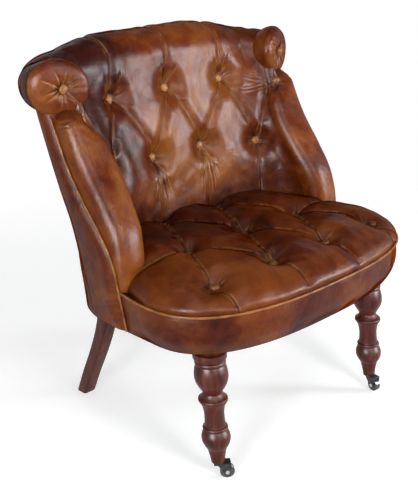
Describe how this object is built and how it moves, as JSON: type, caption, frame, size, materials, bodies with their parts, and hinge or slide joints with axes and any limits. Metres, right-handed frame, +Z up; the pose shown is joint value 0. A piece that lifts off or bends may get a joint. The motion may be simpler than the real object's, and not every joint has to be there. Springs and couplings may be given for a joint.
{
  "type": "chesterfield armchair",
  "caption": "Low tub armchair with a rolled top, scroll ends, deep-buttoned seat and back, turned front legs on swivel casters and sabre rear legs.",
  "frame": {"origin": "centre of the footprint's bounding box, on the floor", "axes": "+X to the right of a person facing the back of the chair from the front, +Y from the front of the seat to the back, +Z up"},
  "size_m": [0.7042, 0.5783, 0.7645],
  "materials": {
    "back_leather": "aged glossy chestnut leather with darker burnished folds",
    "seat_leather": "aged satin tan leather, worn lighter on the crowns",
    "button_leather": "satin light tan leather over domed buttons",
    "piping_leather": "satin tan leather over cord",
    "mahogany": "polished reddish mahogany",
    "beech": "plain planed beech",
    "caster_metal": "black lacquered brass, worn at the edges",
    "caster_wheel": "dark brown glazed wheel",
    "steel": "plain bright steel",
    "burlap": "coarse woven jute",
    "black_cloth": "matt black cotton",
    "padding": "cream hair-and-wadding padding"
  },
  "bodies": {
    "chair": {"front_seat_rail": "beech", "rear_seat_rail": "beech", "left_seat_rail": "beech", "right_seat_rail": "beech", "corner_blocks": "beech", "top_rail": "beech", "left_back_post": "beech", "right_back_post": "beech", "left_wing_post": "beech", "right_wing_post": "beech", "corner_block_screws": "steel", "leg_bolts": "steel", "left_front_leg": "mahogany", "right_front_leg": "mahogany", "left_rear_leg": "mahogany", "right_rear_leg": "mahogany", "left_caster_socket": "caster_metal", "right_caster_socket": "caster_metal", "seat_springs": "steel", "spring_clips": "steel", "spring_cover": "burlap", "back_webbing": "burlap", "dust_cover": "black_cloth", "seat_foam": "padding", "back_foam": "padding", "buttoned_seat": "seat_leather", "seat_buttons": "button_leather", "buttoned_inside_back": "back_leather", "back_buttons": "button_leather", "top_roll": "back_leather", "left_scroll_end": "back_leather", "right_scroll_end": "back_leather", "scroll_buttons": "button_leather", "left_wing_facing": "back_leather", "right_wing_facing": "back_leather", "left_wing_piping": "piping_leather", "right_wing_piping": "piping_leather", "outside_back_cover": "back_leather", "seat_apron": "seat_leather", "seat_piping": "piping_leather"},
    "left_caster": {"left_caster_fork": "caster_metal", "left_caster_axle": "steel"},
    "right_caster": {"right_caster_fork": "caster_metal", "right_caster_axle": "steel"},
    "left_wheel": {"left_caster_wheel": "caster_wheel"},
    "right_wheel": {"right_caster_wheel": "caster_wheel"}
  },
  "joints": [
    {"name": "left_swivel", "type": "hinge", "parent": "chair", "child": "left_caster", "pos_m": [-0.234, -0.20215, 0.05], "axis": [0, 0, 1], "continuous": true},
    {"name": "right_swivel", "type": "hinge", "parent": "chair", "child": "right_caster", "pos_m": [0.234, -0.20215, 0.05], "axis": [0, 0, 1], "continuous": true},
    {"name": "left_roll", "type": "hinge", "parent": "left_caster", "child": "left_wheel", "pos_m": [-0.22098, -0.21308, 0.014], "axis": [0.6428, 0.766, 0], "continuous": true},
    {"name": "right_roll", "type": "hinge", "parent": "right_caster", "child": "right_wheel", "pos_m": [0.23105, -0.21889, 0.014], "axis": [0.9848, -0.1736, 0], "continuous": true}
  ]
}
